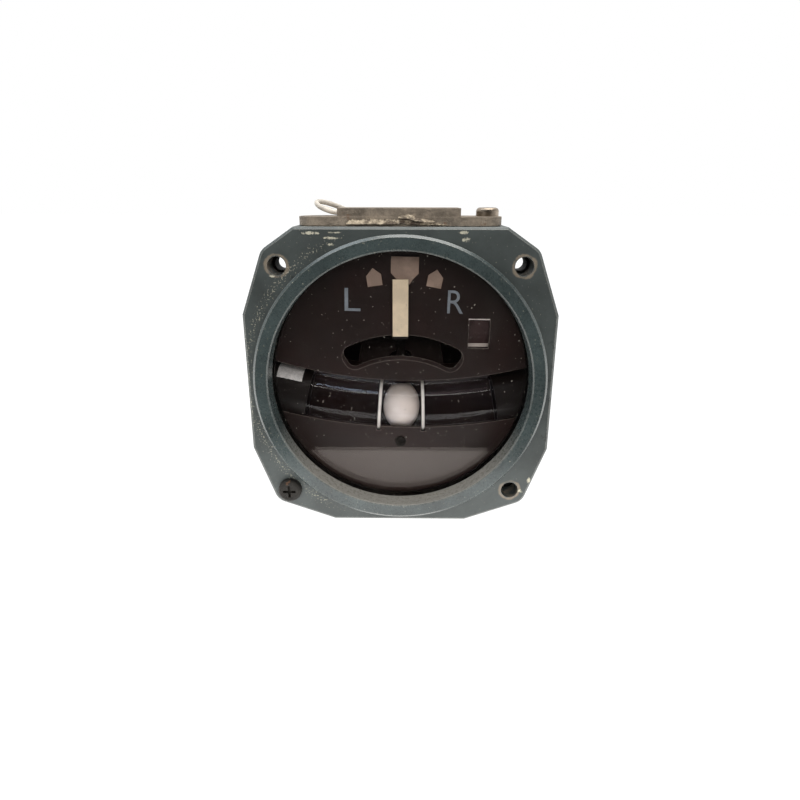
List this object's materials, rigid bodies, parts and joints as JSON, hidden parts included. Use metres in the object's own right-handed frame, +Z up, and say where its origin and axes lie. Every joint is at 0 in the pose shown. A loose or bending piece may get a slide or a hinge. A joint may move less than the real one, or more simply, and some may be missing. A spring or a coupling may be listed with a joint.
{
  "type": "aircraft turn and bank indicator",
  "caption": "Gyroscopic aircraft panel instrument in a round case with a flange: a geared needle over a black dial and a ball in a curved glass tube.",
  "frame": {"origin": "on the case axis, in the plane of the flange's front face", "axes": "+Z up, +X to the right as seen from the front, and the dial faces -Y"},
  "size_m": [0.0826, 0.1245, 0.0888],
  "materials": {
    "case_paint": "worn semi-gloss grey-green enamel",
    "ring_paint": "worn semi-gloss enamel",
    "glass": "clear, polished",
    "tube_glass": "clear, polished, filled with liquid",
    "black_rubber": "matt",
    "dial_black": "matt black, moulded",
    "mark_paint": "matt off-white paint, aged",
    "needle_paint": "matt cream paint, aged",
    "ball_cream": "glazed cream",
    "bright_steel": "turned and polished",
    "dark_steel": "blackened",
    "screw_worn": "blackened, worn to the metal on the edges",
    "cap_metal": "bright, slightly dull",
    "alloy": "machined",
    "brass": "turned and hobbed",
    "magnet_iron": "ground",
    "brown_moulding": "moulded phenolic",
    "black_moulding": "moulded phenolic",
    "flag_paint": "matt signal red",
    "gasket_cream": "torn fibre sheet",
    "lead_white": "dull white insulation"
  },
  "bodies": {
    "case": {"bezel_ring": "ring_paint", "case_body": "case_paint", "contact_pins": "brass", "cover_glass": "glass", "damper_cylinder": "alloy", "dial_plate": "dial_black", "dial_screw": "dark_steel", "dial_standoffs": "alloy", "filter_capacitor": "alloy", "flag_bracket": "alloy", "flag_motor": "black_moulding", "frame_posts": "alloy", "frame_screws": "bright_steel", "front_plate": "alloy", "gimbal_bearings": "bright_steel", "glass_seal": "black_rubber", "glass_snap_ring": "dark_steel", "inclinometer_tube": "tube_glass", "index_marks": "mark_paint", "lamp_bulb": "glass", "lamp_gasket": "gasket_cream", "lamp_housing": "case_paint", "lamp_lead_a": "lead_white", "lamp_lead_b": "lead_white", "lamp_plate": "case_paint", "lamp_screw": "dark_steel", "lamp_socket": "black_moulding", "lead_fittings": "black_moulding", "marker_wires": "bright_steel", "mount_inserts": "bright_steel", "needle_bridge": "alloy", "needle_bushes": "brass", "panel_screw": "screw_worn", "rear_cover": "case_paint", "rear_gasket": "black_rubber", "rear_plate": "alloy", "rear_screws": "bright_steel", "receptacle_insert": "black_rubber", "receptacle_screws": "bright_steel", "receptacle_shell": "alloy", "tube_clip": "brass", "tube_end_caps": "cap_metal"},
    "gimbal": {"gimbal_frame": "alloy", "gimbal_pivots": "bright_steel", "gimbal_gear": "brass", "damper_crank": "brass", "rotor_bearings": "bright_steel", "field_magnet": "magnet_iron", "brush_holders": "brown_moulding", "centring_spring": "bright_steel"},
    "rotor": {"rotor_rim": "bright_steel", "rotor_shaft": "bright_steel", "commutator": "brass"},
    "needle": {"needle": "needle_paint", "needle_staff": "bright_steel", "needle_gear": "brass"},
    "ball": {"ball": "ball_cream"},
    "damper_piston": {"damper_piston": "alloy"},
    "flag": {"warning_flag": "flag_paint", "flag_staff": "bright_steel"}
  },
  "joints": [
    {"name": "gimbal_tilt", "type": "hinge", "parent": "case", "child": "gimbal", "pos_m": [0, 0.059, 0], "axis": [0, 1, 0], "range_deg": [-13.3, 13.3], "stiffness_Nm_per_rad": 0.03, "deforming": ["centring_spring"]},
    {"name": "needle_turn", "type": "hinge", "parent": "case", "child": "needle", "pos_m": [0, 0.0285, -0.021], "axis": [0, 1, 0], "range_deg": [-20, 20]},
    {"name": "damper_slide", "type": "slide", "parent": "case", "child": "damper_piston", "axis": [0, 0, 1], "range_m": [-0.0037, 0.0037]},
    {"name": "rotor_spin", "type": "hinge", "parent": "gimbal", "child": "rotor", "pos_m": [0, 0.059, 0], "axis": [1, 0, 0], "continuous": true},
    {"name": "ball_roll", "type": "hinge", "parent": "case", "child": "ball", "pos_m": [0.00325, 0.0126, 0.13127], "axis": [0, 1, 0], "range_deg": [-8.5, 8.5]},
    {"name": "flag_swing", "type": "hinge", "parent": "case", "child": "flag", "pos_m": [0.0215, 0.012, 0.0198], "axis": [1, 0, 0], "range_deg": [0, 85], "stiffness_Nm_per_rad": 0.0002, "springref_deg": -17.19}
  ],
  "couplings": [
    {"joint": "needle_turn", "follows": "gimbal_tilt", "ratio": -1.5},
    {"joint": "damper_slide", "follows": "gimbal_tilt", "m_per_rad": -0.0155}
  ]
}
